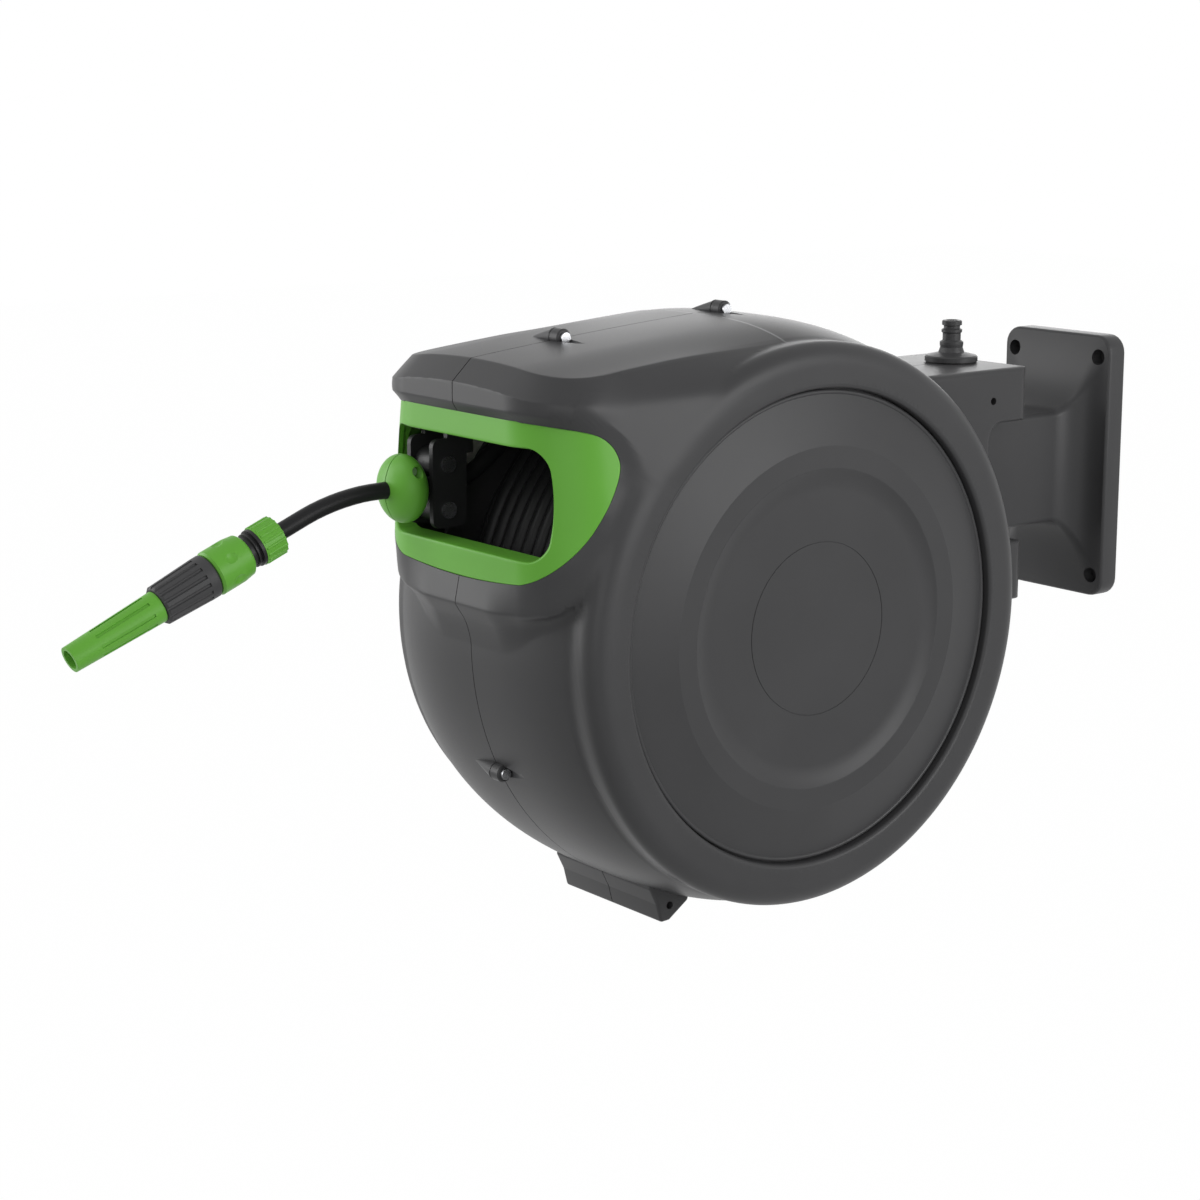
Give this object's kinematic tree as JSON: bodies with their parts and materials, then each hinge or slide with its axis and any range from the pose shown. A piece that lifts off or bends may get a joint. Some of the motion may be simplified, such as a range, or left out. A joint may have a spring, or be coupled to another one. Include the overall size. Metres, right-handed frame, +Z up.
{
  "type": "wall mounted hose reel",
  "caption": "Wall mounted garden hose reel: round closed casing on a swinging bracket, sprung drum, traversing hose guide, hose end with stopper, quick connector and spray nozzle.",
  "frame": {"origin": "centre of the wall bracket's back face, between its four screw holes", "axes": "+Z up, +Y into the wall, so the hose mouth faces -Y; the drum axis lies along X"},
  "size_m": [0.26, 0.9173, 0.4576],
  "materials": {
    "case_plastic": "fine grained satin",
    "cover_plastic": "fine grained satin",
    "green_plastic": "satin",
    "black_plastic": "satin",
    "hose_rubber": "dull",
    "seal_rubber": "dull",
    "drum_plastic": "plain moulded",
    "gear_plastic": "plain moulded",
    "brass": "turned",
    "steel": "zinc plated"
  },
  "bodies": {
    "wall_bracket": {"wall_bracket": "case_plastic", "pivot_bushes": "gear_plastic"},
    "reel_case": {"left_case": "case_plastic", "right_case": "case_plastic", "left_side_cover": "cover_plastic", "right_side_cover": "cover_plastic", "mouth_bezel": "green_plastic", "seam_screws": "steel", "pivot_tube": "steel", "inlet_nipple": "case_plastic", "inlet_washer": "seal_rubber", "feed_pipe": "black_plastic", "axle_union": "black_plastic", "main_axle": "steel", "axle_seals": "seal_rubber", "spring_arbor": "drum_plastic", "guide_rail": "steel", "screw_bearings": "brass", "idler_pin": "steel", "pawl_pin": "steel", "pawl_spring": "steel"},
    "drum": {"drum_barrel": "drum_plastic", "left_flange": "drum_plastic", "right_flange": "drum_plastic", "drum_bushes": "brass", "drum_gear": "gear_plastic", "drum_outlet": "black_plastic", "spring_cup": "drum_plastic", "spring_cover": "drum_plastic", "recoil_spring": "steel", "hose_core": "hose_rubber", "hose_winding": "hose_rubber"},
    "idler": {"idler_gear": "gear_plastic"},
    "screw": {"traverse_screw": "steel", "screw_gear": "gear_plastic"},
    "hose_guide": {"guide_carriage": "black_plastic", "follower_pin": "steel", "roller_pins": "steel", "hose_lead": "hose_rubber", "stopper_left": "green_plastic", "stopper_right": "green_plastic", "stopper_screws": "steel", "free_hose": "hose_rubber", "hose_nut": "green_plastic", "connector_body": "black_plastic"},
    "upper_roller": {"upper_roller": "black_plastic"},
    "lower_roller": {"lower_roller": "black_plastic"},
    "connector_collar": {"connector_collar": "green_plastic"},
    "nozzle": {"nozzle_body": "black_plastic", "nozzle_seal": "seal_rubber"},
    "nozzle_tip": {"nozzle_tip": "green_plastic"},
    "lock_pawl": {"lock_pawl": "brass"}
  },
  "joints": [
    {"name": "case_swivel", "type": "hinge", "parent": "wall_bracket", "child": "reel_case", "pos_m": [0, -0.146, 0], "axis": [0, 0, 1], "range_deg": [-60, 60]},
    {"name": "drum_spin", "type": "hinge", "parent": "reel_case", "child": "drum", "pos_m": [0, -0.405, -0.0725], "axis": [1, 0, 0], "range_deg": [0, 2880]},
    {"name": "idler_spin", "type": "hinge", "parent": "reel_case", "child": "idler", "pos_m": [0, -0.47858, 0.02418], "axis": [1, 0, 0], "range_deg": [-950, 10]},
    {"name": "screw_spin", "type": "hinge", "parent": "reel_case", "child": "screw", "pos_m": [0, -0.58103, 0.0895], "axis": [1, 0, 0], "range_deg": [0, 2890]},
    {"name": "guide_slide", "type": "slide", "parent": "reel_case", "child": "hose_guide", "axis": [1, 0, 0], "range_m": [0, 0.1285]},
    {"name": "upper_roller_spin", "type": "hinge", "parent": "hose_guide", "child": "upper_roller", "pos_m": [-0.064, -0.613, 0.0485], "axis": [1, 0, 0], "continuous": true},
    {"name": "lower_roller_spin", "type": "hinge", "parent": "hose_guide", "child": "lower_roller", "pos_m": [-0.064, -0.613, 0.0145], "axis": [1, 0, 0], "continuous": true},
    {"name": "collar_slide", "type": "slide", "parent": "hose_guide", "child": "connector_collar", "axis": [0, 0.9245, 0.3811], "range_m": [0, 0.004], "stiffness_N_per_m": 400, "springref_m": -0.002},
    {"name": "nozzle_swivel", "type": "hinge", "parent": "hose_guide", "child": "nozzle", "pos_m": [-0.064, -0.7507, 0.0094], "axis": [0, -0.9245, -0.3811], "continuous": true},
    {"name": "tip_twist", "type": "hinge", "parent": "nozzle", "child": "nozzle_tip", "pos_m": [-0.064, -0.7507, 0.0094], "axis": [0, -0.9245, -0.3811], "range_deg": [0, 270]},
    {"name": "pawl_rock", "type": "hinge", "parent": "reel_case", "child": "lock_pawl", "pos_m": [0, -0.405, 0.0495], "axis": [1, 0, 0], "range_deg": [-25, 25], "stiffness_Nm_per_rad": 0.02}
  ],
  "couplings": [
    {"joint": "idler_spin", "follows": "drum_spin", "ratio": -0.32787},
    {"joint": "screw_spin", "follows": "drum_spin", "ratio": 1},
    {"joint": "guide_slide", "follows": "drum_spin", "m_per_rad": 0.0025465}
  ]
}
